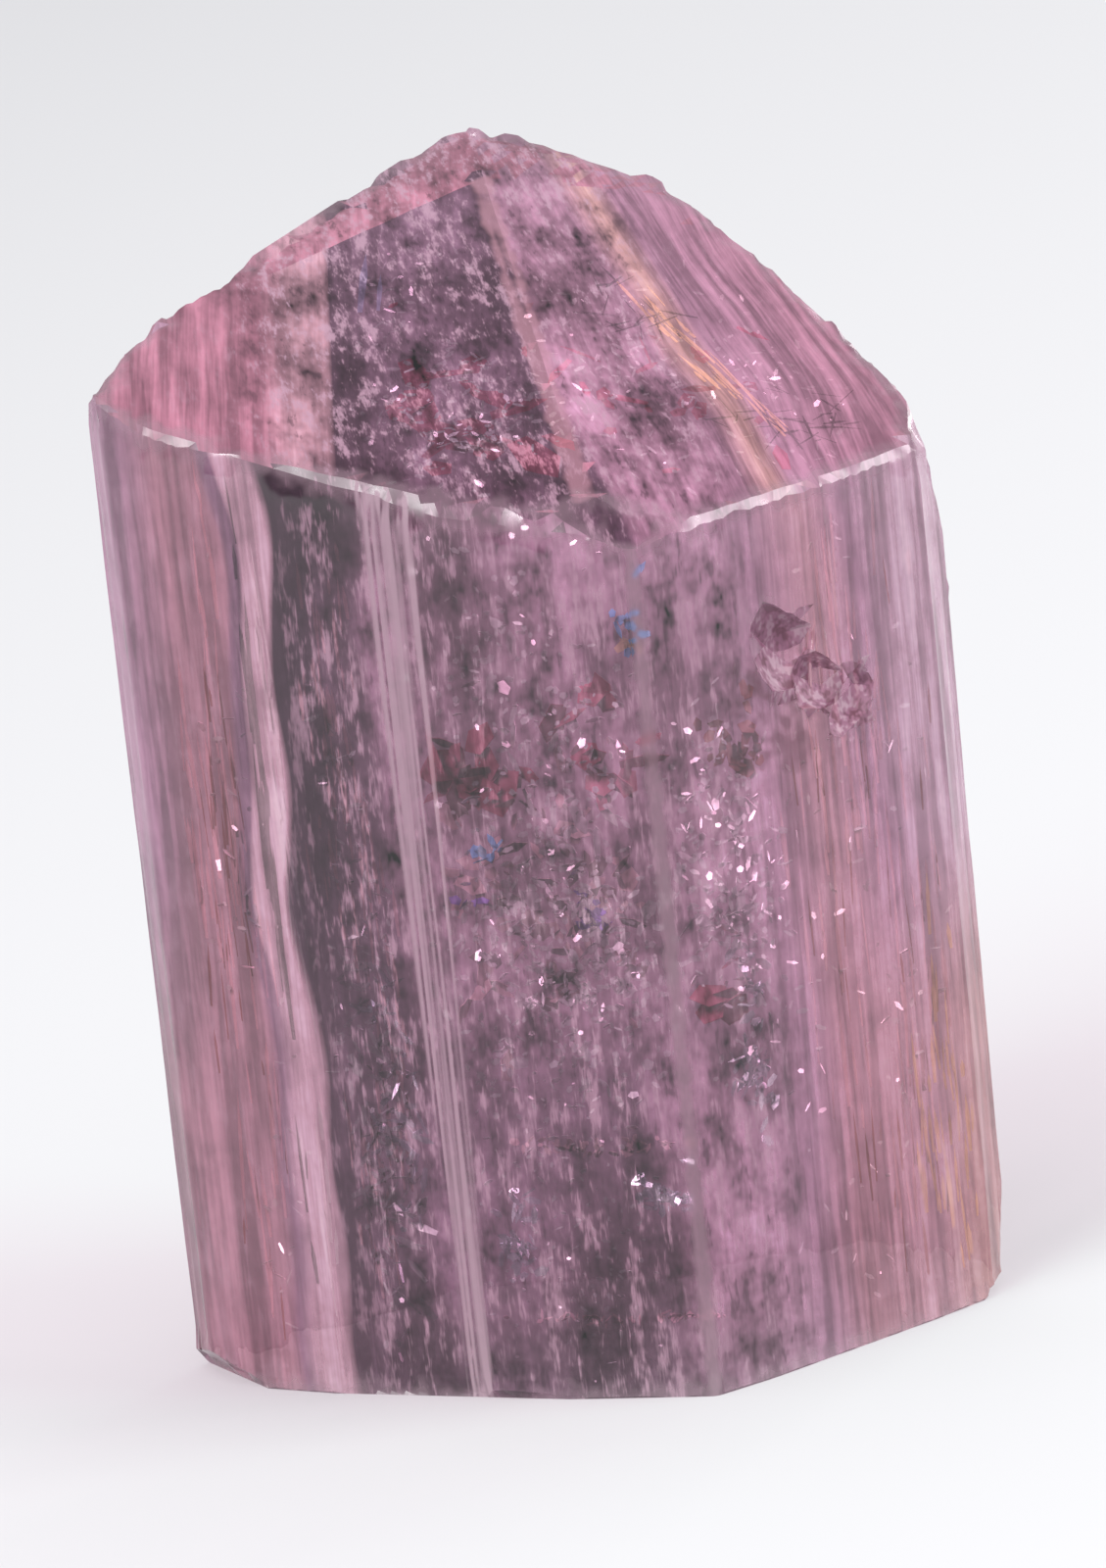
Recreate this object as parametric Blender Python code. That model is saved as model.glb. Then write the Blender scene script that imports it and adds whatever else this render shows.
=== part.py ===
"""Pink topaz crystal, free-standing on its basal cleavage.

One solid. A striated prism with a lopsided outline stands on a flat cleavage, and two large pyramid
faces close its top, rising from the front rim to a blunt edge near the back. The rims and corners are
worn, and small flakes are missing.

X runs along the crystal's b axis, -Y along its a axis and +Z along its c axis.
"""

import math
import random

import bmesh
import bpy
from mathutils import Vector

MM = 0.001

# Prism outline in millimetres, anticlockwise from above. Each row is a corner, then the face that
# starts there: the width of its striations (0 for a smooth face) and how far they lean either way.
PRISM = (
    # x, y, striation width, lean in degrees
    (-8.60, 0.66, 0.20, 5.0),
    (-8.44, -0.15, 0.24, 7.0),
    (-7.82, -1.02, 0.30, 9.0),
    (-6.45, -2.08, 0.00, 0.0),
    (-4.05, -3.52, 0.16, 5.0),
    (-3.48, -4.04, 0.55, 2.0),
    (0.20, -5.66, 0.45, 3.0),
    (1.45, -5.18, 0.38, 7.0),
    (4.98, -3.46, 0.26, 9.0),
    (6.34, -2.70, 0.20, 9.0),
    (6.94, -1.74, 0.30, 8.0),
    (6.06, 0.24, 0.34, 9.0),
    (5.16, 2.26, 0.34, 9.0),
    (4.10, 4.22, 0.34, 7.0),
    (3.30, 5.22, 0.48, 6.0),
    (1.45, 6.44, 0.30, 5.0),
    (0.55, 6.64, 0.30, 3.0),
    (-0.50, 6.62, 0.48, 6.0),
    (-4.95, 3.50, 0.00, 0.0),
    (-5.35, 2.74, 0.34, 8.0),
    (-7.15, 1.86, 0.30, 9.0),
)
# The prism is grown this tall before the termination is cut
PRISM_TOP = 26.0
# Growth lines are uneven: shares of the nominal lean and width, and where across it the valley lies
LEAN_RANGE = (0.5, 1.3)
WIDTH_RANGE = (0.55, 1.45)
VALLEY_RANGE = (0.3, 0.7)

# The termination: which way each face dips (degrees round from the front, right is positive), how
# steep it is, and where its plane meets the c axis, in millimetres above the base.
PYRAMID = {
    "front_left": (-1.0, 24.55, 19.27),
    "front_right": (22.6, 26.65, 19.23),
    "top_left": (-15.3, 16.5, 20.06),
    "top_right": (32.7, 20.5, 19.92),
}

# Frosted bevels, worn on the edges: the prism face (by its row above), the other face, the width.
RIM_BEVELS = (
    (1, "front_left", 0.20),
    (2, "front_left", 0.24),
    (3, "front_left", 0.24),
    (5, "front_left", 0.40),
    (6, "front_right", 0.32),
    (7, "front_right", 0.26),
    (8, "front_right", 0.24),
    (9, "front_right", 0.26),
    (10, "front_right", 0.20),
    (11, "front_right", 0.18),
    (12, "front_right", 0.18),
    (13, "front_right", 0.18),
    (14, "top_right", 0.14),
    (15, "top_right", 0.14),
    (17, "top_left", 0.12),
    (20, "front_left", 0.18),
)
CORNER_BEVELS = (
    (5, 6, 0.36),
    (9, 10, 0.26),
    (0, 1, 0.25),
)
# Rows of the outline that step inward from one growth level to the next, and keep sharp edges
LEDGES = (4, 18, 19)
FRONT_EDGE_BEVEL = 0.22
BASE_BEVEL = 0.07

# The narrow frosted face between rows 4 and 5: its width at the rim, and how much it leans back, so
# that it narrows towards the base
STRIPE_TOP_WIDTH = 1.05
STRIPE_RIM_HEIGHT = 17.3
STRIPE_TILT_DEG = 1.3

# Corners worn off flat: a point on each worn face, and the way that it faces
WORN_CORNERS = (
    # the foot of the front edge, on the rim
    ((-0.10, -5.20, 16.66), (0.10, -0.62, 0.78)),
    # the right end of the rim
    ((6.72, -1.74, 16.86), (0.70, -0.42, 0.58)),
    ((6.80, -1.72, 15.80), (0.985, -0.02, 0.17)),
    # the left end of the rim
    ((-8.30, 0.60, 19.28), (-0.66, 0.10, 0.74)),
    # the right end of the base
    ((6.86, -1.72, 1.90), (0.985, -0.05, -0.165)),
    ((6.40, -2.10, 0.10), (0.70, -0.22, -0.68)),
    # the left end of the base
    ((-8.25, 0.20, 0.18), (-0.74, -0.30, -0.60)),
)

# Conchoidal chips: centre, radii and turn of the lens that each one takes away, in millimetres
CHIPS = (
    # x, y, z, half width, half depth, half height, turn about Z, lean from the vertical
    (3.20, -4.66, 13.70, 0.84, 0.92, 1.10, 27.0, -24.0),
    (3.86, -4.30, 12.90, 0.76, 0.86, 0.66, 27.0, 30.0),
    (4.48, -3.94, 12.34, 0.50, 0.66, 0.90, 27.0, 40.0),
    (7.06, -1.82, 13.90, 0.26, 0.24, 0.34, 80.0, 0.0),
    (-8.80, 0.30, 9.60, 0.24, 0.22, 0.46, -80.0, 8.0),
    (-4.10, -4.20, 0.02, 0.62, 0.36, 0.30, -36.0, 0.0),
    (-5.36, 3.30, 20.86, 0.42, 0.40, 0.34, 40.0, 0.0),
    (2.30, -5.22, 16.80, 0.44, 0.36, 0.26, 20.0, 0.0),
    (-1.60, -5.10, 17.20, 0.60, 0.40, 0.26, -24.0, 0.0),
)
CHIP_ROUGHNESS = 0.22

PINK = (0.60, 0.33, 0.42, 1.0)
SEED = 11
# Corners closer than this, in millimetres, are merged
MERGE = 0.001


def clear_scene():
    for old in list(bpy.data.objects):
        bpy.data.objects.remove(old, do_unlink=True)


def topaz_material():
    material = bpy.data.materials.new("pink_topaz")
    material.use_nodes = True
    shader = material.node_tree.nodes["Principled BSDF"]
    shader.inputs["Base Color"].default_value = PINK
    shader.inputs["Roughness"].default_value = 0.12
    shader.inputs["Metallic"].default_value = 0.0
    shader.inputs["IOR"].default_value = 1.62
    shader.inputs["Transmission Weight"].default_value = 0.6
    return material


def striated(start, end, width, lean_deg, rng):
    """Corners of one prism face, from start up to but not including end.

    The growth lines are narrow facets that lean a few degrees to one side and then to the other, so
    the outline zigzags just inside the straight line between the two corners.
    """
    along = end - start
    length = along.length
    points = [start]
    if width == 0.0:
        return points
    direction = along / length
    inward = Vector((-direction.y, direction.x, 0.0))
    count = max(1, round(length / width))
    shares = [rng.uniform(*WIDTH_RANGE) for _ in range(count)]
    scale = length / sum(shares)
    place = 0.0
    for share in shares:
        step = share * scale
        valley = step * rng.uniform(*VALLEY_RANGE)
        depth = valley * math.tan(math.radians(lean_deg)) * rng.uniform(*LEAN_RANGE)
        points.append(start + direction * (place + valley) + inward * depth)
        place += step
        if place < length - MERGE:
            points.append(start + direction * place)
    return points


def prism_outline():
    rng = random.Random(SEED)
    outline = []
    for row, (x, y, width, lean) in enumerate(PRISM):
        next_x, next_y = PRISM[(row + 1) % len(PRISM)][:2]
        outline += striated(Vector((x, y, 0.0)), Vector((next_x, next_y, 0.0)), width, lean, rng)
    return outline


def prism_face(row):
    """Outward normal and distance of one prism face, as a plane."""
    x, y = PRISM[row][:2]
    next_x, next_y = PRISM[(row + 1) % len(PRISM)][:2]
    normal = Vector((next_y - y, x - next_x, 0.0)).normalized()
    return normal, normal.dot(Vector((x, y, 0.0)))


def pyramid_face(name):
    """Outward normal and distance of one termination face, as a plane."""
    facing_deg, slope_deg, on_axis = PYRAMID[name]
    facing = math.radians(facing_deg)
    slope = math.radians(slope_deg)
    flat = math.sin(slope)
    normal = Vector((flat * math.sin(facing), -flat * math.cos(facing), math.cos(slope)))
    return normal, normal.z * on_axis


def bevel_plane(first, second, width):
    """Plane that takes a strip of the given width off the edge between two planes."""
    together = first[0] + second[0]
    half_turn = math.acos(max(-1.0, min(1.0, first[0].dot(second[0])))) / 2
    distance = (first[1] + second[1]) / together.length - width / 2 * math.tan(half_turn)
    return together.normalized(), distance


def cut(mesh, plane):
    """Remove what lies outside the plane and close the body with a flat face."""
    normal, distance = plane
    everything = mesh.verts[:] + mesh.edges[:] + mesh.faces[:]
    result = bmesh.ops.bisect_plane(
        mesh, geom=everything, dist=MERGE, plane_co=normal * distance, plane_no=normal, clear_outer=True
    )
    rim = [item for item in result["geom_cut"] if isinstance(item, bmesh.types.BMEdge)]
    open_rim = [edge for edge in rim if edge.is_boundary]
    if open_rim:
        bmesh.ops.contextual_create(mesh, geom=open_rim)


def grow_prism(mesh):
    corners = [mesh.verts.new(point) for point in prism_outline()]
    base = mesh.faces.new(corners)
    raised = bmesh.ops.extrude_face_region(mesh, geom=[base])
    top = [item for item in raised["geom"] if isinstance(item, bmesh.types.BMVert)]
    bmesh.ops.translate(mesh, verts=top, vec=(0.0, 0.0, PRISM_TOP))
    bmesh.ops.recalc_face_normals(mesh, faces=mesh.faces[:])


def cut_termination(mesh):
    for name in PYRAMID:
        cut(mesh, pyramid_face(name))
    cut(mesh, bevel_plane(pyramid_face("front_left"), pyramid_face("front_right"), FRONT_EDGE_BEVEL))
    for point, facing in WORN_CORNERS:
        normal = Vector(facing).normalized()
        cut(mesh, (normal, normal.dot(Vector(point))))


def cut_frosted_stripe(mesh):
    """The narrow frosted face at the left of the front, wider at the top than at the base."""
    ledge = prism_face(4)
    front = prism_face(5)
    normal, distance = bevel_plane(ledge, front, 0.0)
    tilt = math.radians(STRIPE_TILT_DEG)
    tilted = (normal + Vector((0.0, 0.0, math.sin(tilt)))).normalized()
    corner = Vector(PRISM[5][:2] + (STRIPE_RIM_HEIGHT,))
    half_turn = math.acos(ledge[0].dot(front[0])) / 2
    depth = STRIPE_TOP_WIDTH / 2 * math.tan(half_turn)
    cut(mesh, (tilted, tilted.dot(corner) - depth))


def cut_bevels(mesh):
    for row, name, width in RIM_BEVELS:
        cut(mesh, bevel_plane(prism_face(row), pyramid_face(name), width))
    for row, next_row, width in CORNER_BEVELS:
        cut(mesh, bevel_plane(prism_face(row), prism_face(next_row), width))
    base = (Vector((0.0, 0.0, -1.0)), 0.0)
    for row in range(len(PRISM)):
        if row not in LEDGES:
            cut(mesh, bevel_plane(prism_face(row), base, BASE_BEVEL))


def crystal_object(material):
    mesh = bmesh.new()
    grow_prism(mesh)
    cut_termination(mesh)
    cut_frosted_stripe(mesh)
    cut_bevels(mesh)
    bmesh.ops.remove_doubles(mesh, verts=mesh.verts[:], dist=MERGE)
    bmesh.ops.dissolve_degenerate(mesh, edges=mesh.edges[:], dist=MERGE)
    bmesh.ops.recalc_face_normals(mesh, faces=mesh.faces[:])
    data = bpy.data.meshes.new("topaz_crystal")
    mesh.to_mesh(data)
    mesh.free()
    crystal = bpy.data.objects.new("topaz_crystal", data)
    bpy.context.collection.objects.link(crystal)
    data.materials.append(material)
    return crystal


def chip_cutter(number, chip, rng):
    """A lens with uneven facets, like the hollow that a flake leaves."""
    x, y, z, half_width, half_depth, half_height, turn_deg, lean_deg = chip
    data = bpy.data.meshes.new(f"chip_{number}")
    mesh = bmesh.new()
    bmesh.ops.create_icosphere(mesh, subdivisions=2, radius=1.0)
    for vertex in mesh.verts:
        vertex.co *= 1.0 - CHIP_ROUGHNESS * rng.random()
    mesh.to_mesh(data)
    mesh.free()
    cutter = bpy.data.objects.new(f"chip_{number}", data)
    bpy.context.collection.objects.link(cutter)
    cutter.location = (x, y, z)
    cutter.scale = (half_width, half_depth, half_height)
    cutter.rotation_euler = (0.0, math.radians(lean_deg), math.radians(turn_deg))
    cutter.hide_render = True
    cutter.display_type = "WIRE"
    return cutter


def add_chips(crystal):
    rng = random.Random(SEED)
    for number, chip in enumerate(CHIPS):
        cutter = chip_cutter(number, chip, rng)
        boolean = crystal.modifiers.new(f"chip_{number}", "BOOLEAN")
        boolean.operation = "DIFFERENCE"
        boolean.solver = "EXACT"
        boolean.object = cutter


def apply_chips(crystal):
    """Turn the chipped shape into the crystal's own mesh and remove the cutters."""
    bpy.context.view_layer.update()
    shaped = crystal.evaluated_get(bpy.context.evaluated_depsgraph_get())
    chipped = bpy.data.meshes.new_from_object(shaped)
    cutters = [modifier.object for modifier in crystal.modifiers]
    crystal.modifiers.clear()
    crystal.data = chipped
    for cutter in cutters:
        bpy.data.objects.remove(cutter, do_unlink=True)


def stand_on_origin(crystal):
    """Real size, with the middle of the box over the origin and the cleavage at Z = 0."""
    vertices = crystal.data.vertices
    middle_x = (min(v.co.x for v in vertices) + max(v.co.x for v in vertices)) / 2
    middle_y = (min(v.co.y for v in vertices) + max(v.co.y for v in vertices)) / 2
    for vertex in vertices:
        vertex.co.x = (vertex.co.x - middle_x) * MM
        vertex.co.y = (vertex.co.y - middle_y) * MM
        vertex.co.z = vertex.co.z * MM


def build():
    clear_scene()
    crystal = crystal_object(topaz_material())
    add_chips(crystal)
    apply_chips(crystal)
    stand_on_origin(crystal)


build()
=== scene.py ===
import math

import bpy
from mathutils import Matrix, Vector
from mathutils.bvhtree import BVHTree
from mathutils.kdtree import KDTree


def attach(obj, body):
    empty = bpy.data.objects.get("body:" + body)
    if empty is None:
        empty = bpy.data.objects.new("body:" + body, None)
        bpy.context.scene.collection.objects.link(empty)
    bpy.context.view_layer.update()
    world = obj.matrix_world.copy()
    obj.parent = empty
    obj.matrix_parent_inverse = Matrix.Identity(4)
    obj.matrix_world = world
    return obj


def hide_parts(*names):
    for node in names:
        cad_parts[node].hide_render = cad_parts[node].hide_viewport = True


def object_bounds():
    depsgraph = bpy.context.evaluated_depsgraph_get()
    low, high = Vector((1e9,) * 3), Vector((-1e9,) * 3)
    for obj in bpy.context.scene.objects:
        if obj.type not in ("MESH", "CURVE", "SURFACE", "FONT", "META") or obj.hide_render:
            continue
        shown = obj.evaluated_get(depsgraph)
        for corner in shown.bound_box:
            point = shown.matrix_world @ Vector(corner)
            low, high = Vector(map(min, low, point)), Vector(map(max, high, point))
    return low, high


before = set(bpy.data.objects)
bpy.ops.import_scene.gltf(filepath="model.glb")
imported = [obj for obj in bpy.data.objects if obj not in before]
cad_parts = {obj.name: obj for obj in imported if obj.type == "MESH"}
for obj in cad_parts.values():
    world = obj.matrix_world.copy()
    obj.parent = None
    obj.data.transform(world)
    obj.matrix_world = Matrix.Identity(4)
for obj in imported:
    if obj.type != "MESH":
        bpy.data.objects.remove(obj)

cad_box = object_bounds()
MM = 0.001

# The crystal: one clear piece of pink topaz, grown with striated sides and sloping top faces.
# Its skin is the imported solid, cut finer so that growth lines and worn rims can be pressed into it,
# always inwards, so that it stays within the solid.
CUT_SPACING_MM = {"X": 0.24, "Y": 0.28, "Z": 0.42}
MERGE_MM = 0.002
FLAT_ENOUGH_DEG = 1.0
KEEP_EDGE_DEG = 11.0
FURTHEST_MM = 2.0
POINT_SPACING_MM = 0.08

# Faces are told apart by the Z of their normals: the underside, the bevels along the rim, the two
# pyramid faces that meet in the front crest, the sides and the top
RIM_FROM_MM = 15.2
UNDERSIDE_NORMAL = -0.9
BEVEL_NORMALS = (0.1, 0.86)
CREST_NORMALS = (0.86, 0.93)
CREST_DEG = 2.0
SIDE_NORMAL = 0.25
TOP_NORMAL = 0.8

# How far from an edge its wear reaches, and how worn the crest is beside the rim
RIM_REACH_MM = 0.5
CREST_REACH_MM = 0.3
CREST_SHARE = 0.6
ON_FLOOR_MM = 0.02

# A face counts as folded when its normal has turned this far, as a cosine
FOLDED_COSINE = 0.3
UNFOLDING_ROUNDS = 4


def select_only(piece):
    bpy.ops.object.select_all(action="DESELECT")
    piece.select_set(True)
    bpy.context.view_layer.objects.active = piece


def cut_across(axis, spacing_mm, low, high):
    """Cuts the whole mesh through at even steps along one axis."""
    normal = {"X": (1, 0, 0), "Y": (0, 1, 0), "Z": (0, 0, 1)}[axis]
    index = "XYZ".index(axis)
    steps = int((high[index] - low[index]) / (spacing_mm * MM))
    for step in range(1, steps):
        place = Vector(low)
        place[index] += step * (high[index] - low[index]) / steps
        bpy.ops.mesh.select_all(action="SELECT")
        bpy.ops.mesh.bisect(plane_co=place, plane_no=normal)


def points_on_edges(mesh, wanted):
    """Points along those edges of the mesh that are wanted, judged by the faces on both sides."""
    sides = {}
    for face in mesh.polygons:
        for key in face.edge_keys:
            sides.setdefault(key, []).append(face.normal)
    points = []
    for (start, end), normals in sides.items():
        start, end = mesh.vertices[start].co, mesh.vertices[end].co
        if len(normals) == 2 and wanted(*normals, (start + end) / 2):
            steps = max(1, int((end - start).length / (POINT_SPACING_MM * MM)))
            points += [start.lerp(end, step / steps) for step in range(steps + 1)]
    return points


def mark_distance(mesh, name, points):
    """Notes at each vertex how many millimetres it lies from the nearest of the points."""
    nearest = KDTree(len(points))
    for index, point in enumerate(points):
        nearest.insert(point, index)
    nearest.balance()
    marks = mesh.attributes.new(name, "FLOAT", "POINT").data
    for vertex in mesh.vertices:
        marks[vertex.index].value = min(nearest.find(vertex.co)[2] / MM, FURTHEST_MM)


def is_rim_or_foot(one, other, middle):
    if middle.z < RIM_FROM_MM * MM:
        return (one.z < UNDERSIDE_NORMAL) != (other.z < UNDERSIDE_NORMAL)
    low, high = BEVEL_NORMALS
    return low < one.z < high or low < other.z < high


def is_front_crest(one, other, middle):
    low, high = CREST_NORMALS
    slopes_alike = low < min(one.z, other.z) and max(one.z, other.z) < high
    return slopes_alike and one.angle(other) > math.radians(CREST_DEG)


crystal = bpy.data.objects.new("crystal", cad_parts["topaz_crystal"].data.copy())
bpy.context.collection.objects.link(crystal)
select_only(crystal)
bpy.ops.object.mode_set(mode="EDIT")
bpy.ops.mesh.select_all(action="SELECT")
bpy.ops.mesh.remove_doubles(threshold=MERGE_MM * MM)
bpy.ops.mesh.dissolve_limited(angle_limit=math.radians(FLAT_ENOUGH_DEG))
bpy.ops.object.mode_set(mode="OBJECT")
edges = {
    "edge_mm": points_on_edges(crystal.data, is_rim_or_foot),
    "crest_mm": points_on_edges(crystal.data, is_front_crest),
}

bpy.ops.object.mode_set(mode="EDIT")
for axis, spacing_mm in CUT_SPACING_MM.items():
    cut_across(axis, spacing_mm, *cad_box)
bpy.ops.mesh.select_all(action="SELECT")
bpy.ops.mesh.quads_convert_to_tris()
bpy.ops.object.mode_set(mode="OBJECT")
for name, points in edges.items():
    mark_distance(crystal.data, name, points)


def weigh(piece, name, share):
    """Makes a vertex group in which each vertex weighs what share gives for it, 0 to 1."""
    group = piece.vertex_groups.new(name=name)
    for vertex in piece.data.vertices:
        group.add([vertex.index], max(0.0, min(1.0, share(vertex))), "REPLACE")


def near_edge(name, reach_mm):
    distances = [mark.value for mark in crystal.data.attributes[name].data]
    return lambda vertex: 1 - distances[vertex.index] / reach_mm


def stands_free(vertex):
    return vertex.co.z > ON_FLOOR_MM * MM


near_rim = near_edge("edge_mm", RIM_REACH_MM)
near_crest = near_edge("crest_mm", CREST_REACH_MM)


def on_side(vertex):
    return (abs(vertex.normal.z) < SIDE_NORMAL) * stands_free(vertex) * (1 - max(0, near_rim(vertex)))


weigh(crystal, "sides", on_side)
weigh(crystal, "worn", lambda v: max(near_rim(v), near_crest(v) * CREST_SHARE) * stands_free(v))
weigh(crystal, "top", lambda v: v.normal.z > TOP_NORMAL)

# What each relief is: where it lies, how far it cuts in, how wide its marks are across and up
RELIEFS_MM = (
    ("growth_lines", "sides", 0.05, (0.55, 0.55, 9.0)),
    ("growth_threads", "sides", 0.022, (0.2, 0.2, 4.0)),
    ("wear", "worn", 0.13, (0.5, 0.5, 0.5)),
    ("crumbling", "worn", 0.06, (0.2, 0.2, 0.2)),
    ("top_swell", "top", 0.05, (1.6, 1.6, 1.6)),
)
unworn = [vertex.co.copy() for vertex in crystal.data.vertices]
facing = [face.normal.copy() for face in crystal.data.polygons]
for name, group, depth_mm, size_mm in RELIEFS_MM:
    gauge = bpy.data.objects.new(name, None)
    gauge.scale = Vector(size_mm) * MM
    bpy.context.collection.objects.link(gauge)
    pattern = bpy.data.textures.new(name, "CLOUDS")
    pattern.noise_scale = 0.5
    pattern.noise_depth = 2
    relief = crystal.modifiers.new(name, "DISPLACE")
    relief.texture = pattern
    relief.texture_coords = "OBJECT"
    relief.texture_coords_object = gauge
    relief.vertex_group = group
    relief.mid_level = 0.0
    relief.strength = -depth_mm * MM
    select_only(crystal)
    bpy.ops.object.modifier_apply(modifier=name)
    bpy.data.objects.remove(gauge)

# Where wear would fold the skin over a thin edge, the skin is left as it was
for _ in range(UNFOLDING_ROUNDS):
    for face in crystal.data.polygons:
        if face.normal.dot(facing[face.index]) < FOLDED_COSINE:
            for index in face.vertices:
                crystal.data.vertices[index].co = unworn[index]
    crystal.data.update()
for vertex in crystal.data.vertices:
    vertex.co = [min(max(place, low), high) for place, low, high in zip(vertex.co, *cad_box)]
bpy.ops.object.shade_smooth_by_angle(angle=math.radians(KEEP_EDGE_DEG))
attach(crystal, "root")
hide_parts("topaz_crystal")


def add_node(tree, kind, sockets=(), **settings):
    """Adds a node. Each socket is given a plain value, or the output that it is joined to."""
    node = tree.nodes.new(kind)
    for name, value in settings.items():
        setattr(node, name, value)
    for key, value in dict(sockets).items():
        if isinstance(value, bpy.types.NodeSocket):
            tree.links.new(value, node.inputs[key])
        else:
            node.inputs[key].default_value = value
    return node


def reckon(tree, operation, first, second=0.0, third=0.0):
    sockets = {0: first, 1: second, 2: third}
    return add_node(tree, "ShaderNodeMath", sockets, operation=operation).outputs[0]


def rise(tree, value, start, end):
    """Goes softly from 0 to 1 while value goes from start to end."""
    sockets = {"Value": value, "From Min": start, "From Max": end}
    node = add_node(tree, "ShaderNodeMapRange", sockets, interpolation_type="SMOOTHSTEP")
    return node.outputs["Result"]


def both(tree, *masks):
    """Masks, or shares, multiplied together."""
    for mask in masks[1:]:
        masks = (reckon(tree, "MULTIPLY", masks[0], mask),)
    return masks[0]


def between(tree, value, start, end, soft):
    """Is 1 while value is between start and end, and falls softly to 0 on both sides."""
    past_start = rise(tree, value, start - soft, start + soft)
    return both(tree, past_start, rise(tree, value, end + soft, end - soft))


def tinted(tree, share, under, over, way="MIX"):
    sockets = {"Factor": share, 6: under, 7: over}
    return add_node(tree, "ShaderNodeMix", sockets, data_type="RGBA", blend_type=way).outputs[2]


# How wide the noise texture's clouds are at scale 1
CLOUD_WIDTH = 0.7


def cloud(tree, place, size_mm, detail=3.0, roughness=0.55):
    """Noise whose clouds are about size_mm wide, along X, Y and Z."""
    scale = tuple(CLOUD_WIDTH / size for size in size_mm)
    place = add_node(tree, "ShaderNodeMapping", {"Vector": place, "Scale": scale}).outputs[0]
    sockets = {"Vector": place, "Scale": 1.0, "Detail": detail, "Roughness": roughness}
    return add_node(tree, "ShaderNodeTexNoise", sockets).outputs["Fac"]


def shade(red, green, blue):
    """A colour as the eye reads it, 0 to 255, turned into the light that a shader works in."""
    return (*(((value / 255 + 0.055) / 1.055) ** 2.4 for value in (red, green, blue)), 1)


def run_of_colours(tree, value, stops):
    """Colours that follow one another as value passes the place of each, in millimetres."""
    low, high = stops[0][0], stops[-1][0]
    sockets = {"Value": value, "From Min": low, "From Max": high}
    share = add_node(tree, "ShaderNodeMapRange", sockets).outputs["Result"]
    node = add_node(tree, "ShaderNodeValToRGB", {"Fac": share})
    marks = node.color_ramp.elements
    while len(marks) < len(stops):
        marks.new(0.5)
    for mark, (place, colour) in zip(marks, stops):
        mark.position = (place - low) / (high - low)
        mark.color = colour
    return node.outputs["Color"]


# The stone's colours, from the painted shade of its clear dark places to the frost on its rims; the two
# darkest are painted shade
PAINTED_SHADE_INK = shade(44, 32, 42)
PAINTED_SHADE_SMOKE = shade(84, 62, 78)
PLUM = shade(126, 94, 116)
MAUVE = shade(180, 136, 162)
HEATHER = shade(192, 142, 168)
CORAL = shade(186, 132, 146)
SALMON = shade(204, 146, 158)
ROSE = shade(232, 176, 188)
BLUSH = shade(240, 192, 208)
LILAC = shade(208, 160, 188)
PALE = shade(246, 206, 226)
PINK = shade(198, 128, 148)
PEACH = shade(224, 172, 164)
RUST = shade(112, 66, 80)
FROST = shade(196, 176, 184)
GLINT = shade(246, 222, 232)

# The lowest upward lean of the faces on top, and of the narrow band along its upper edge
TOP_LEAN = 0.62
BAND_LEAN = 0.935

# The right half of the top takes its colours this far along the same run
RIGHT_HALF_SHIFT_MM = 2.5

# Where the stripe with its painted reflection, the front ridge, the chip and the stain beside it lie
FRONT_Y_MM = -3.5
STRIPE_X_MM = -3.01
RIDGE_X_MM = 1.06
CHIP_X_MM = (2.6, 6.0)
CHIP_Z_MM = (11.2, 15.0)
CHIP_TIPPED = 0.12
STAIN_X_MM = (2.9, 4.5)
STAIN_Z_MM = (11.3, 13.5)

topaz = bpy.data.materials.new("pink_topaz")
topaz.use_nodes = True
tree = topaz.node_tree
glass = tree.nodes["Principled BSDF"]
local = add_node(tree, "ShaderNodeTexCoord").outputs["Object"]
place = add_node(tree, "ShaderNodeMapping", {"Vector": local, "Scale": (1000, 1000, 1000)}).outputs[0]
x_mm, y_mm, z_mm = add_node(tree, "ShaderNodeSeparateXYZ", {0: place}).outputs
true_normal = add_node(tree, "ShaderNodeNewGeometry").outputs["True Normal"]
face_z = add_node(tree, "ShaderNodeSeparateXYZ", {0: true_normal}).outputs["Z"]

# Where a point lies: on the sloping top, on its upper band, on its right half, or round the back
on_top = reckon(tree, "GREATER_THAN", face_z, TOP_LEAN)
on_upper_band = reckon(tree, "GREATER_THAN", face_z, BAND_LEAN)
on_right_half = reckon(tree, "GREATER_THAN", reckon(tree, "MULTIPLY_ADD", y_mm, -0.035, x_mm), 0.74)
on_back = rise(tree, reckon(tree, "MULTIPLY_ADD", x_mm, 0.154, y_mm), -1.3, -0.7)

# Growth lines run up the sides, and are seen slanting back through the top
wander = cloud(tree, place, (1.9, 2.4, 2.6), 0.0)
bent_x = reckon(tree, "MULTIPLY_ADD", wander, 0.9, reckon(tree, "ADD", x_mm, -0.45))
top_left_x = reckon(tree, "MULTIPLY_ADD", y_mm, -0.2, x_mm)
top_right_x = reckon(tree, "MULTIPLY_ADD", y_mm, 0.161, reckon(tree, "ADD", bent_x, RIGHT_HALF_SHIFT_MM))
top_x = add_node(tree, "ShaderNodeMix", {"Factor": on_right_half, 2: top_left_x, 3: top_right_x}).outputs[0]
line_x = add_node(tree, "ShaderNodeMix", {"Factor": on_top, 2: x_mm, 3: top_x}).outputs[0]
line_z = reckon(tree, "MULTIPLY", z_mm, reckon(tree, "MULTIPLY_ADD", on_top, -0.07, 0.07))
line_y = reckon(tree, "MULTIPLY", y_mm, 0.06)
line_place = add_node(tree, "ShaderNodeCombineXYZ", {"X": line_x, "Y": line_y, "Z": line_z}).outputs[0]
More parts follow.
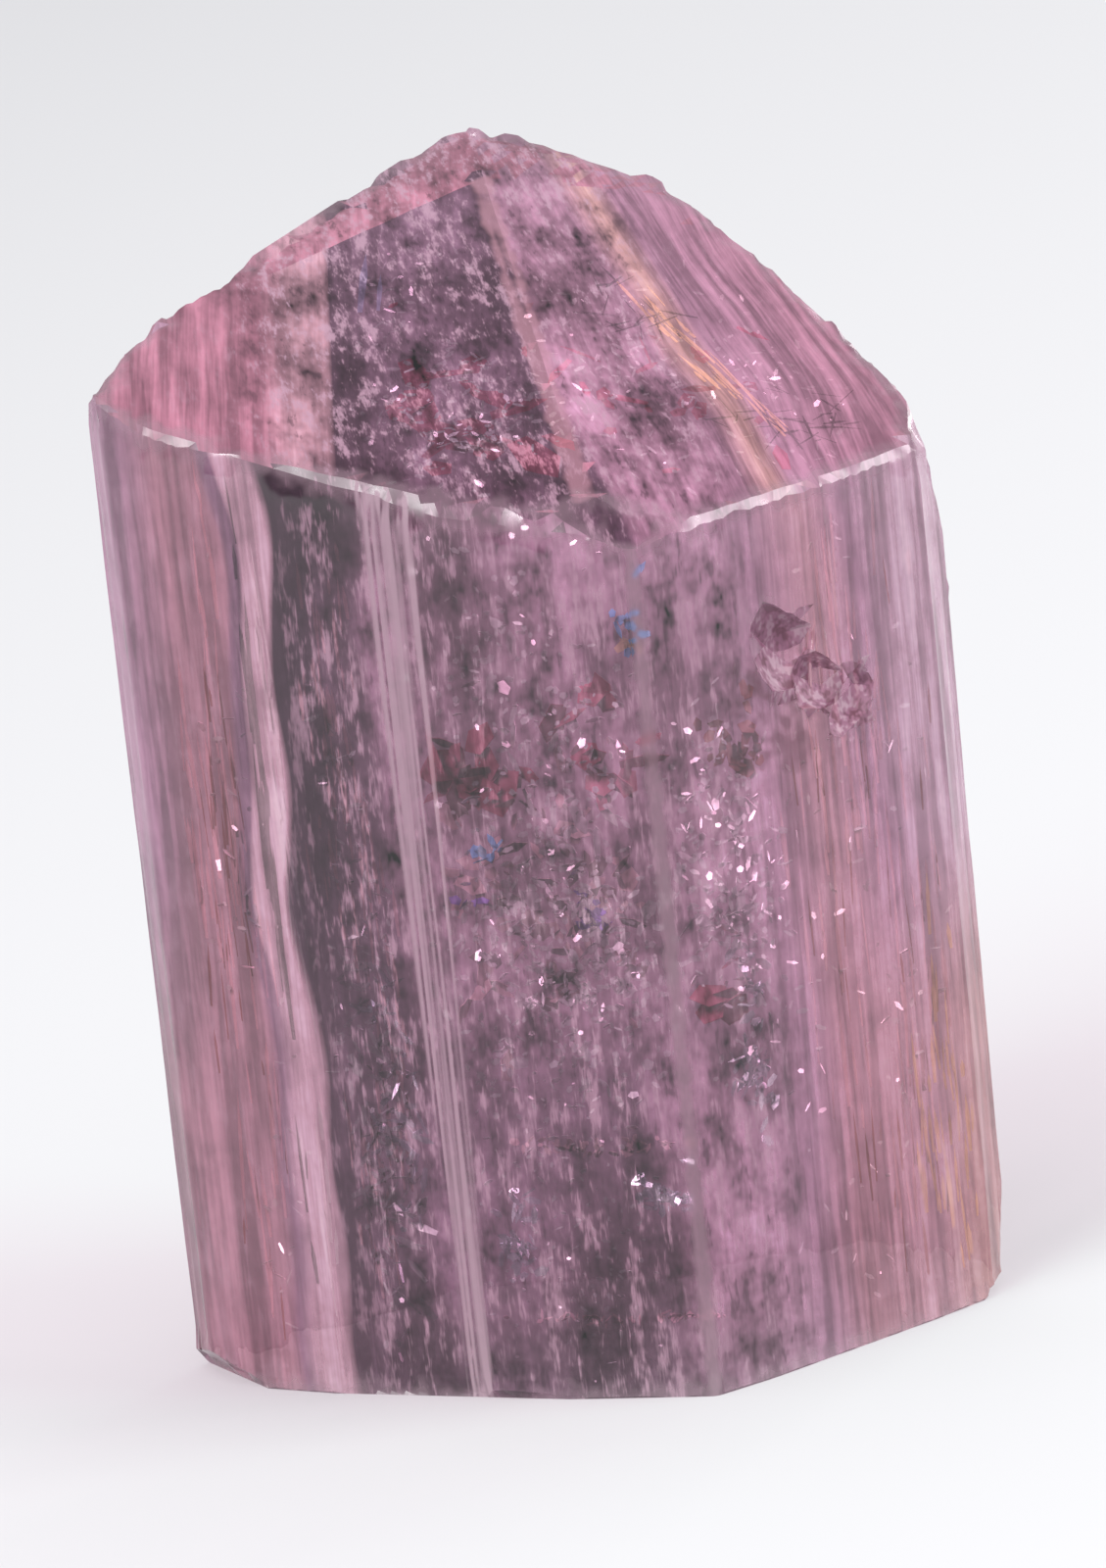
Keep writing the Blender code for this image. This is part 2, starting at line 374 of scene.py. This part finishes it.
lines = cloud(tree, line_place, (0.22, 0.22, 0.4), 3.0, 0.75)

# The cloudy middle: veils, and clear places between them painted darker, as painted shade
veils = cloud(tree, place, (0.5, 1.1, 0.8), 3.0, 0.75)

# The colours from left to right, at the top of the sides, at their foot, and on the sloping top. Their
# darkest stretches, the dark band on the left and the clear darker places in the middle and on the top, are
# painted shade
high = run_of_colours(
    tree,
    bent_x,
    (
        (-7.6, MAUVE), (-6.9, CORAL), (-6.0, CORAL), (-5.9, PLUM), (-5.72, PLUM), (-5.66, BLUSH),
        (-5.2, BLUSH), (-5.1, PAINTED_SHADE_INK), (-4.4, PAINTED_SHADE_INK), (-3.6, PAINTED_SHADE_SMOKE), (-3.2, MAUVE), (0.8, MAUVE),
        (1.5, LILAC), (3.4, LILAC), (4.5, ROSE), (5.6, LILAC), (6.6, PALE), (7.8, PALE),
    ),
)
low = run_of_colours(
    tree,
    bent_x,
    (
        (-7.6, CORAL), (-6.1, CORAL), (-5.9, PLUM), (-5.6, BLUSH), (-5.1, BLUSH), (-5.0, PAINTED_SHADE_SMOKE),
        (-3.8, PAINTED_SHADE_SMOKE), (-3.2, PLUM), (0.4, PAINTED_SHADE_SMOKE), (1.4, MAUVE), (3.6, LILAC), (4.6, SALMON),
        (6.2, ROSE), (7.2, PEACH),
    ),
)
front = tinted(tree, rise(tree, z_mm, 5.5, 10.0), low, high)
top = run_of_colours(
    tree,
    top_x,
    (
        (-7.6, PINK), (-4.4, PINK), (-3.8, ROSE), (-3.12, ROSE), (-3.04, PAINTED_SHADE_SMOKE), (-1.6, PLUM),
        (0.6, PAINTED_SHADE_SMOKE), (2.7, PAINTED_SHADE_SMOKE), (2.9, HEATHER), (5.3, HEATHER), (5.9, PEACH), (6.0, PEACH),
        (6.4, HEATHER), (10.4, PINK),
    ),
)
top = tinted(tree, on_upper_band, top, PINK)
mass = tinted(tree, on_back, front, LILAC)
mass = tinted(tree, on_top, mass, top)

# How cloudy each place is: most in the middle of the sides and on the top
cloudy = between(tree, bent_x, -4.7, 3.2, 0.6)
# Veils lighter, and the clear places between them painted darker as painted shade
veils_and_painted_shade = reckon(tree, "MULTIPLY_ADD", veils, 6.5, -2.25)
mass = tinted(tree, reckon(tree, "MULTIPLY_ADD", cloudy, 0.55, 0.2), mass, veils_and_painted_shade, "MULTIPLY")
# Broad clear places in the cloudy middle painted darker, as painted shade
painted_shade_depths = reckon(tree, "MULTIPLY_ADD", wander, 3.4, -0.8)
mass = tinted(tree, both(tree, cloudy, 0.7), mass, painted_shade_depths, "MULTIPLY")
# The growth lines painted as lighter and darker streaks: painted highlights and shade along them, strongest
# outside the cloudy middle
sockets = {"Value": lines, "From Min": 0.4, "From Max": 0.63, "To Min": 0.58, "To Max": 1.75}
line_painted_light_and_shade = add_node(tree, "ShaderNodeMapRange", sockets).outputs["Result"]
mass = tinted(tree, reckon(tree, "MULTIPLY_ADD", cloudy, -0.45, 0.95), mass, line_painted_light_and_shade, "MULTIPLY")
# Upright streaks painted as glints in PALE and as dark gaps in painted shade, most in the cloudy middle
streaks = cloud(tree, place, (0.13, 0.4, 0.9), 3.0, 0.85)
streaks = reckon(tree, "MULTIPLY_ADD", veils, 0.7, reckon(tree, "ADD", streaks, -0.35))
painted_glint_and_shade_share = reckon(tree, "MULTIPLY_ADD", cloudy, 0.66, 0.15)
mass = tinted(tree, both(tree, rise(tree, streaks, 0.51, 0.73), painted_glint_and_shade_share), mass, PALE)
mass = tinted(tree, both(tree, rise(tree, streaks, 0.42, 0.32), painted_glint_and_shade_share, 0.65), mass, PAINTED_SHADE_INK)

# Frost on the worn edges, uneven in width, and on the front ridge; the narrow stripe is made rough as well,
# and carries a painted reflection
ragged = cloud(tree, place, (0.3, 0.3, 0.3), 1.0, 0.7)
edge_mm = add_node(tree, "ShaderNodeAttribute", attribute_name="edge_mm").outputs["Fac"]
crest_mm = add_node(tree, "ShaderNodeAttribute", attribute_name="crest_mm").outputs["Fac"]
edge_frost = rise(tree, reckon(tree, "MULTIPLY_ADD", ragged, -0.8, edge_mm), -0.02, -0.4)
crest_frost = rise(tree, reckon(tree, "MULTIPLY_ADD", ragged, -0.25, crest_mm), 0.04, -0.1)
off_stripe = reckon(tree, "MULTIPLY_ADD", z_mm, 0.0015, reckon(tree, "SUBTRACT", x_mm, STRIPE_X_MM))
off_stripe = reckon(tree, "ABSOLUTE", off_stripe)
stripe_half = reckon(tree, "MULTIPLY_ADD", z_mm, 0.0135, 0.21)
stripe_lines = cloud(tree, place, (0.06, 0.06, 5.0), 0.0)
upright = reckon(tree, "LESS_THAN", face_z, 0.5)
in_front = both(tree, reckon(tree, "LESS_THAN", y_mm, FRONT_Y_MM), upright)
stripe = both(tree, rise(tree, reckon(tree, "SUBTRACT", off_stripe, stripe_half), 0.03, -0.05), in_front)
off_ridge = reckon(tree, "ABSOLUTE", reckon(tree, "SUBTRACT", x_mm, RIDGE_X_MM))
ridge = both(tree, rise(tree, reckon(tree, "MULTIPLY_ADD", ragged, -0.2, off_ridge), 0.12, -0.05), in_front)
# The stripe's painted reflection: pale along fine upright lines
painted_stripe_reflection = both(tree, stripe, rise(tree, stripe_lines, 0.25, 0.65))

# The chip on the right face, splintered and silvery, and a maroon stain beside it
tipped = reckon(tree, "GREATER_THAN", reckon(tree, "ABSOLUTE", face_z), CHIP_TIPPED)
chip = both(tree, tipped, between(tree, x_mm, *CHIP_X_MM, 0.1), between(tree, z_mm, *CHIP_Z_MM, 0.2))
splinters = cloud(tree, place, (0.16, 0.16, 0.34), 2.0, 0.8)
frost = reckon(tree, "MAXIMUM", both(tree, edge_frost, 0.46), both(tree, ridge, 0.9))
stain = both(tree, between(tree, x_mm, *STAIN_X_MM, 0.5), between(tree, z_mm, *STAIN_Z_MM, 0.7))
mass = tinted(tree, both(tree, stain, rise(tree, ragged, 0.4, 0.6), 0.75), mass, RUST)
chip_colour = tinted(tree, rise(tree, splinters, 0.35, 0.5), RUST, HEATHER)
chip_colour = tinted(tree, rise(tree, splinters, 0.5, 0.6), chip_colour, GLINT)
mass = tinted(tree, both(tree, chip, 0.85), mass, chip_colour)
mass = tinted(tree, both(tree, crest_frost, 0.6), mass, ROSE)
mass = tinted(tree, both(tree, frost, 0.8), mass, FROST)
# Painted reflection on the stripe, in GLINT
mass = tinted(tree, both(tree, painted_stripe_reflection, 0.86), mass, GLINT)
frost = reckon(tree, "MAXIMUM", frost, reckon(tree, "MAXIMUM", chip, painted_stripe_reflection))
tree.links.new(mass, glass.inputs["Base Color"])
rough = reckon(tree, "MULTIPLY_ADD", frost, 0.55, 0.07)
tree.links.new(rough, glass.inputs["Roughness"])
glass.distribution = "GGX"
glass.inputs["IOR"].default_value = 1.62
glass.inputs["Transmission Weight"].default_value = 0.7
absorbing = add_node(tree, "ShaderNodeVolumeAbsorption", {"Color": (0.8, 0.5, 0.66, 1), "Density": 70.0})
tree.links.new(absorbing.outputs["Volume"], tree.nodes["Material Output"].inputs["Volume"])
# Seen from inside, the skin is clear and pink, and dims what is seen through it to about half, as painted
# shade
within = add_node(tree, "ShaderNodeBsdfTransparent", {"Color": (0.5, 0.34, 0.42, 1)})
behind = add_node(tree, "ShaderNodeNewGeometry").outputs["Backfacing"]
surface = add_node(tree, "ShaderNodeMixShader", {0: behind, 1: glass.outputs[0], 2: within.outputs[0]})
# Lamps shine through the stone, tinted, onto what lies inside it and onto the floor
shadow_ray = add_node(tree, "ShaderNodeLightPath").outputs["Is Shadow Ray"]
let_through = add_node(tree, "ShaderNodeBsdfTransparent", {"Color": (0.96, 0.88, 0.92, 1)})
seen_or_lit = add_node(
    tree, "ShaderNodeMixShader", {0: shadow_ray, 1: surface.outputs[0], 2: let_through.outputs[0]}
)
tree.links.new(seen_or_lit.outputs[0], tree.nodes["Material Output"].inputs["Surface"])
crystal.data.materials.clear()
crystal.data.materials.append(topaz)

# Healed fractures and flakes: sheets of tiny flat plates and needles, some silvery with trapped gas,
# some coloured, that the growing crystal sealed in a little way below its faces.
FLAKE_THICKNESS_MM = 0.012
FLAKE_CORNERS = 5
LEAST_DEPTH_MM = 0.06
SHEET_BEND_MM = 0.4
SHEET_CELLS = 12
CLUMPS_PER_METRE = 900.0

# Each face that sheets lie under: its outward normal, and how far it is from the frame's origin
FACES = {
    "left": ((-0.514, -0.857, 0.0), 5.16),
    "middle": ((-0.411, -0.912, 0.0), 5.2),
    "right": ((0.39, -0.921, 0.0), 6.11),
    "top_left": ((-0.075, -0.274, 0.959), 19.33),
    "front_left": ((-0.007, -0.415, 0.91), 17.76),
    "front_right": ((0.172, -0.414, 0.894), 17.58),
}

# How the flakes of each kind are turned at random: how far they tip, and how far they spin in the sheet
STREWN = {"flake": (0.9, 3.14), "needle": (0.12, 0.06)}

# Each sheet: the face it lies under, its middle along that face (x and z, or x and y on the top) and how
# deep, its width and height, how many flakes it has, how wide and long they are, and of what kind
SHEETS_MM = (
    ("middle", (-1.1, 13.4), 0.4, (4.4, 8.0), 420, (0.12, 0.16), "flake", "glint"),
    ("middle", (-1.0, 8.6), 0.35, (4.6, 7.4), 1100, (0.11, 0.2), "flake", "glint"),
    ("middle", (-1.2, 9.6), 0.8, (4.2, 7.0), 150, (0.32, 0.5), "flake", "rose"),
    ("middle", (-0.6, 9.4), 0.6, (3.6, 7.4), 50, (0.22, 0.5), "flake", "glint"),
    ("middle", (-1.0, 13.0), 0.6, (3.6, 6.0), 30, (0.2, 0.45), "flake", "glint"),
    ("middle", (-1.4, 3.6), 0.45, (4.0, 8.4), 300, (0.08, 0.13), "flake", "glint"),
    ("middle", (-2.0, 12.2), 0.6, (2.0, 2.2), 34, (0.85, 0.5), "flake", "wine"),
    ("middle", (0.1, 12.6), 0.7, (2.0, 2.6), 20, (0.5, 0.6), "flake", "wine"),
    ("middle", (-2.0, 10.9), 0.4, (0.9, 1.0), 16, (0.16, 0.3), "flake", "sky"),
    ("middle", (-2.3, 9.9), 0.4, (0.9, 1.2), 16, (0.16, 0.3), "flake", "violet"),
    ("middle", (-0.3, 9.5), 0.4, (1.0, 1.3), 20, (0.2, 0.3), "flake", "violet"),
    ("middle", (0.8, 15.1), 0.4, (0.7, 1.9), 24, (0.2, 0.3), "flake", "sky"),
    ("middle", (0.8, 14.6), 0.4, (0.5, 1.2), 12, (0.14, 0.3), "flake", "straw"),
    ("middle", (0.5, 4.1), 0.4, (1.6, 1.1), 110, (0.16, 0.2), "flake", "silver"),
    ("middle", (-0.9, 4.9), 0.5, (4.4, 0.4), 110, (0.2, 0.12), "flake", "rose"),
    ("middle", (-0.6, 1.5), 0.45, (5.0, 0.25), 120, (0.2, 0.07), "flake", "rose"),
    ("middle", (-2.2, 3.2), 0.45, (1.1, 2.4), 60, (0.14, 0.3), "flake", "silver"),
    ("right", (2.4, 9.6), 0.38, (3.0, 8.0), 640, (0.11, 0.2), "flake", "glint"),
    ("right", (2.4, 9.4), 0.6, (2.2, 6.4), 30, (0.2, 0.5), "flake", "glint"),
    ("right", (2.6, 6.4), 0.45, (1.1, 5.0), 130, (0.14, 0.34), "flake", "silver"),
    ("right", (3.0, 12.3), 0.5, (2.0, 2.0), 50, (0.34, 0.3), "flake", "rust"),
    ("right", (2.1, 7.6), 0.6, (1.4, 2.4), 16, (0.5, 0.7), "flake", "wine"),
    ("right", (5.6, 9.0), 0.5, (4.2, 17.0), 200, (0.07, 1.4), "needle", "rose"),
    ("right", (5.6, 8.0), 0.5, (4.2, 16.0), 60, (0.05, 1.1), "needle", "rust"),
    ("right", (6.7, 3.6), 0.45, (2.0, 9.0), 90, (0.08, 1.2), "needle", "straw"),
    ("right", (5.0, 8.0), 0.5, (5.0, 17.0), 260, (0.08, 0.22), "flake", "glint"),
    ("left", (-6.5, 9.0), 0.5, (1.7, 17.0), 130, (0.07, 1.6), "needle", "rose"),
    ("left", (-6.5, 8.0), 0.5, (1.7, 17.0), 60, (0.05, 1.1), "needle", "rust"),
    ("left", (-6.3, 8.0), 0.45, (1.7, 17.0), 130, (0.09, 0.26), "flake", "glint"),
    ("left", (-5.45, 9.0), 0.4, (0.4, 17.0), 50, (0.07, 2.0), "needle", "glint"),
    ("left", (-5.75, 9.0), 0.4, (0.25, 17.0), 60, (0.08, 1.8), "needle", "ink"),
    ("left", (-4.4, 9.0), 0.5, (1.7, 16.0), 190, (0.07, 0.9), "needle", "rose"),
    ("left", (-4.4, 7.6), 0.45, (1.7, 15.0), 420, (0.08, 0.24), "flake", "glint"),
    ("left", (-4.3, 5.2), 0.5, (1.5, 9.0), 70, (0.16, 0.6), "flake", "glint"),
    ("left", (-4.1, 5.6), 0.45, (1.5, 8.0), 90, (0.12, 0.4), "flake", "silver"),
    ("front_left", (-1.2, -2.2), 0.45, (4.2, 6.4), 420, (0.09, 0.2), "flake", "glint"),
    ("front_left", (-0.9, -2.2), 0.7, (3.4, 4.4), 26, (0.6, 0.9), "flake", "wine"),
    ("top_left", (-1.2, 0.9), 0.6, (2.6, 5.4), 130, (0.08, 0.2), "flake", "glint"),
    ("top_left", (-1.6, 1.6), 0.45, (2.0, 5.0), 22, (0.12, 2.4), "needle", "slate"),
    ("top_left", (-1.35, 0.7), 0.6, (0.8, 1.0), 16, (0.2, 0.4), "flake", "wine"),
    ("front_right", (3.4, -1.4), 0.5, (6.4, 8.0), 520, (0.08, 0.2), "flake", "glint"),
    ("front_right", (3.2, -1.6), 0.8, (5.0, 6.6), 60, (0.3, 0.6), "flake", "wine"),
    ("front_right", (5.0, -2.4), 0.4, (3.4, 2.4), 46, (0.05, 0.6), "flake", "ink"),
    ("front_right", (2.8, 0.6), 0.4, (2.0, 2.4), 26, (0.05, 0.6), "flake", "ink"),
    ("front_right", (3.9, -1.0), 0.45, (1.0, 7.0), 42, (0.07, 1.1), "needle", "straw"),
)


def scattered(flake):
    """Geometry nodes that strew a flake over a sheet, each copy tilted and sized on its own."""
    group = bpy.data.node_groups.new("strewn_flakes", "GeometryNodeTree")
    group.interface.new_socket("Geometry", in_out="INPUT", socket_type="NodeSocketGeometry")
    group.interface.new_socket("Density", in_out="INPUT", socket_type="NodeSocketFloat")
    group.interface.new_socket("Size", in_out="INPUT", socket_type="NodeSocketVector")
    group.interface.new_socket("Turns", in_out="INPUT", socket_type="NodeSocketVector")
    group.interface.new_socket("Seed", in_out="INPUT", socket_type="NodeSocketInt")
    group.interface.new_socket("Geometry", in_out="OUTPUT", socket_type="NodeSocketGeometry")
    given = add_node(group, "NodeGroupInput").outputs
    spread = add_node(group, "GeometryNodeInputNamedAttribute", {"Name": "UVMap"}, data_type="FLOAT_VECTOR")
    sockets = {0: spread.outputs["Attribute"], 1: (0.5, 0.5, 0)}
    off_middle = add_node(group, "ShaderNodeVectorMath", sockets, operation="DISTANCE")
    thinning = rise(group, off_middle.outputs["Value"], 0.55, 0.15)
    clumps = add_node(group, "ShaderNodeTexNoise", {"Scale": CLUMPS_PER_METRE, "Detail": 1.0}).outputs[0]
    density = both(group, given["Density"], thinning, rise(group, clumps, 0.4, 0.6), 3.0)
    points = add_node(
        group,
        "GeometryNodeDistributePointsOnFaces",
        {"Mesh": given["Geometry"], "Density": density, "Seed": given["Seed"]},
    )
    sockets = {0: given["Turns"], "Scale": -1.0}
    turned_back = add_node(group, "ShaderNodeVectorMath", sockets, operation="SCALE")
    tilt = add_node(
        group,
        "FunctionNodeRandomValue",
        {0: turned_back.outputs[0], 1: given["Turns"], "Seed": 1},
        data_type="FLOAT_VECTOR",
    )
    size = add_node(group, "FunctionNodeRandomValue", {"Seed": 2}, data_type="FLOAT_VECTOR")
    size.inputs[0].default_value = (0.4, 0.3, 1.0)
    size.inputs[1].default_value = (1.5, 1.6, 1.0)
    scale = add_node(
        group, "ShaderNodeVectorMath", {0: size.outputs[0], 1: given["Size"]}, operation="MULTIPLY"
    )
    model = add_node(group, "GeometryNodeObjectInfo", {"Object": flake})
    strewn = add_node(
        group,
        "GeometryNodeInstanceOnPoints",
        {
            "Points": points.outputs["Points"],
            "Instance": model.outputs["Geometry"],
            "Rotation": tilt.outputs[0],
            "Scale": scale.outputs[0],
        },
    )
    real = add_node(group, "GeometryNodeRealizeInstances", {"Geometry": strewn.outputs["Instances"]})
    add_node(group, "NodeGroupOutput", {"Geometry": real.outputs["Geometry"]})
    return group


def bent_sheet(name, size_mm, cells, bend_mm, seed):
    """A grid lying in XY, bent by noise, with its size and bend in millimetres."""
    bpy.ops.object.select_all(action="DESELECT")
    bpy.ops.mesh.primitive_grid_add(x_subdivisions=cells, y_subdivisions=cells, size=1.0)
    sheet = bpy.context.object
    sheet.name = name
    sheet.scale = (size_mm[0] * MM, size_mm[1] * MM, 1)
    bpy.ops.object.transform_apply(scale=True)
    gauge = bpy.data.objects.new("gauge", None)
    gauge.scale = Vector((1.6, 1.6, 1.6)) * MM
    gauge.location = Vector((seed * 7.3, seed * 3.1, 0)) * MM
    bpy.context.collection.objects.link(gauge)
    pattern = bpy.data.textures.new(name, "CLOUDS")
    pattern.noise_scale = 1.0
    bend = sheet.modifiers.new("bend", "DISPLACE")
    bend.texture = pattern
    bend.texture_coords = "OBJECT"
    bend.texture_coords_object = gauge
    bend.strength = bend_mm * MM
    bpy.ops.object.modifier_apply(modifier="bend")
    bpy.data.objects.remove(gauge)
    return sheet


def put_under(piece, face, along_mm, depth_mm):
    """Lays a piece that lies in XY under one of the faces, its Y axis pointing up the face."""
    normal, distance = Vector(FACES[face][0]), FACES[face][1]
    missing = 2 if normal.z > 0.5 else 1
    place = Vector((along_mm[0], along_mm[1], 0)) if missing == 2 else Vector((along_mm[0], 0, along_mm[1]))
    place[missing] = (distance - normal.dot(place)) / normal[missing]
    select_only(piece)
    piece.rotation_mode = "QUATERNION"
    piece.rotation_quaternion = normal.to_track_quat("Z", "Y")
    piece.location = (place - depth_mm * normal) * MM
    bpy.ops.object.transform_apply(location=True, rotation=True, scale=True)


# What the flakes are made of: their colour, how metallic they shine, and how rough they are
SEALED = {
    "glint": (shade(255, 244, 250), 0.5, 0.25),
    "rose": (shade(250, 200, 214), 0.0, 0.4),
    "silver": (shade(240, 244, 250), 0.8, 0.25),
    "slate": (shade(190, 190, 220), 0.0, 0.4),
    "ink": (shade(80, 56, 74), 0.0, 0.5),
    "wine": (shade(200, 96, 128), 0.0, 0.4),
    "rust": (shade(160, 92, 96), 0.0, 0.6),
    "straw": (shade(250, 208, 174), 0.0, 0.35),
    "sky": (shade(130, 190, 255), 0.0, 0.3),
    "violet": (shade(190, 140, 250), 0.0, 0.3),
}
sealed = {}
for kind, (colour, metallic, roughness) in SEALED.items():
    sealed[kind] = bpy.data.materials.new(f"sealed_{kind}")
    sealed[kind].use_nodes = True
    sheen = sealed[kind].node_tree.nodes["Principled BSDF"]
    sheen.inputs["Base Color"].default_value = colour
    sheen.inputs["Metallic"].default_value = metallic
    sheen.inputs["Roughness"].default_value = roughness

bpy.ops.object.select_all(action="DESELECT")
bpy.ops.mesh.primitive_cylinder_add(vertices=FLAKE_CORNERS, radius=0.5 * MM, depth=FLAKE_THICKNESS_MM * MM)
flake = bpy.context.object
strewing = scattered(flake)
sockets = {item.name: item.identifier for item in strewing.interface.items_tree if item.in_out == "INPUT"}
sheets = []
for number, (face, along, depth, size, count, flake_size, strewn, kind) in enumerate(SHEETS_MM):
    sheet = bent_sheet(f"healed_{number}", size, SHEET_CELLS, SHEET_BEND_MM, number)
    tip, spin = STREWN[strewn]
    strew = sheet.modifiers.new("strew", "NODES")
    strew.node_group = strewing
    strew[sockets["Density"]] = count / (size[0] * size[1] * MM * MM)
    strew[sockets["Size"]] = (*flake_size, 1.0)
    strew[sockets["Turns"]] = (tip, tip, spin)
    strew[sockets["Seed"]] = number
    select_only(sheet)
    bpy.ops.object.modifier_apply(modifier="strew")
    sheet.data.materials.clear()
    sheet.data.materials.append(sealed[kind])
    put_under(sheet, face, along, depth)
    sheets.append(sheet)
bpy.data.objects.remove(flake)
bpy.ops.object.select_all(action="DESELECT")
for sheet in sheets:
    sheet.select_set(True)
bpy.context.view_layer.objects.active = sheets[0]
bpy.ops.object.join()
sealed_in = bpy.context.object
sealed_in.name = "healed_fractures"

# A flake that would come too near the skin, or through it, is left out
skin = BVHTree.FromObject(crystal, bpy.context.evaluated_depsgraph_get())
too_near = set()
for vertex in sealed_in.data.vertices:
    place, outward, _, _ = skin.find_nearest(vertex.co)
    if (place - vertex.co).dot(outward) < LEAST_DEPTH_MM * MM:
        too_near.add(vertex.index // (2 * FLAKE_CORNERS))
bpy.ops.object.mode_set(mode="EDIT")
bpy.ops.mesh.select_mode(type="VERT")
bpy.ops.mesh.select_all(action="DESELECT")
bpy.ops.object.mode_set(mode="OBJECT")
for vertex in sealed_in.data.vertices:
    vertex.select = vertex.index // (2 * FLAKE_CORNERS) in too_near
bpy.ops.object.mode_set(mode="EDIT")
bpy.ops.mesh.delete(type="VERT")
bpy.ops.object.mode_set(mode="OBJECT")
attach(sealed_in, "root")

# The floor: a plain pale sheet that the crystal stands on, which is no part of it.
bpy.ops.mesh.primitive_plane_add(size=4.0, location=(0, 0, 0))
floor = bpy.context.object
floor.name = "floor"
floor_paint = bpy.data.materials.new("floor_paint")
floor_paint.use_nodes = True
paint = floor_paint.node_tree.nodes["Principled BSDF"].inputs
paint["Base Color"].default_value = (0.74, 0.74, 0.75, 1)
paint["Roughness"].default_value = 0.8
paint["Specular IOR Level"].default_value = 0.0
floor.data.materials.append(floor_paint)

# The light: a dim room all round, and three soft boxes that hang to the left, the right and behind.
world = bpy.data.worlds.new("room")
bpy.context.scene.world = world
world.use_nodes = True
world.node_tree.nodes["Background"].inputs["Color"].default_value = (0.42, 0.42, 0.44, 1)

# Each soft box: its place and size in metres, and its power in watts
SOFT_BOXES = {
    "soft_box_left": ((-0.22, -0.16, 0.22), 0.16, 0.9),
    "soft_box_right": ((0.24, -0.08, 0.18), 0.14, 0.6),
    "soft_box_back": ((0.30, 0.22, 0.14), 0.16, 0.6),
}
for name, (place, size, power) in SOFT_BOXES.items():
    lamp = bpy.data.lights.new(name, "AREA")
    lamp.size = size
    lamp.energy = power
    box = bpy.data.objects.new(name, lamp)
    bpy.context.collection.objects.link(box)
    aim = Vector((0, 0, 0.01)) - Vector(place)
    box.location = place
    box.rotation_euler = aim.to_track_quat("-Z", "Y").to_euler()

# The camera, at the photo's angle: a little above the crystal, to its left, and rolled.
PHOTO_HEIGHT = 1600
FOCAL_PIXELS = 8427
SENSOR_MM = 24
ELEVATION = math.radians(15.54)
AZIMUTH = math.radians(-9.89)
ROLL = math.radians(5.99)
DISTANCE = 155.79 * MM
TARGET = Vector((0.175, -0.525, 10.58)) * MM
right = Vector((math.cos(AZIMUTH), math.sin(AZIMUTH), 0))
level_back = Vector((math.sin(AZIMUTH), -math.cos(AZIMUTH), 0))
back = level_back * math.cos(ELEVATION) + Vector((0, 0, math.sin(ELEVATION)))
up = back.cross(right)
across = math.cos(ROLL) * right - math.sin(ROLL) * up
upward = math.sin(ROLL) * right + math.cos(ROLL) * up
lens = bpy.data.cameras.new("camera")
lens.sensor_fit = "AUTO"
lens.sensor_width = SENSOR_MM
lens.lens = SENSOR_MM * FOCAL_PIXELS / PHOTO_HEIGHT
lens.clip_start = 0.01
camera = bpy.data.objects.new("camera", lens)
bpy.context.collection.objects.link(camera)
turn = Matrix((across, upward, back)).transposed().to_4x4()
camera.matrix_world = Matrix.Translation(TARGET + back * DISTANCE) @ turn
bpy.context.scene.camera = camera
bpy.context.scene.view_settings.view_transform = "Standard"
bounces = bpy.context.scene.cycles
bounces.max_bounces = 4
bounces.diffuse_bounces = 0
bounces.glossy_bounces = 2
bounces.transmission_bounces = 4
bounces.transparent_max_bounces = 4
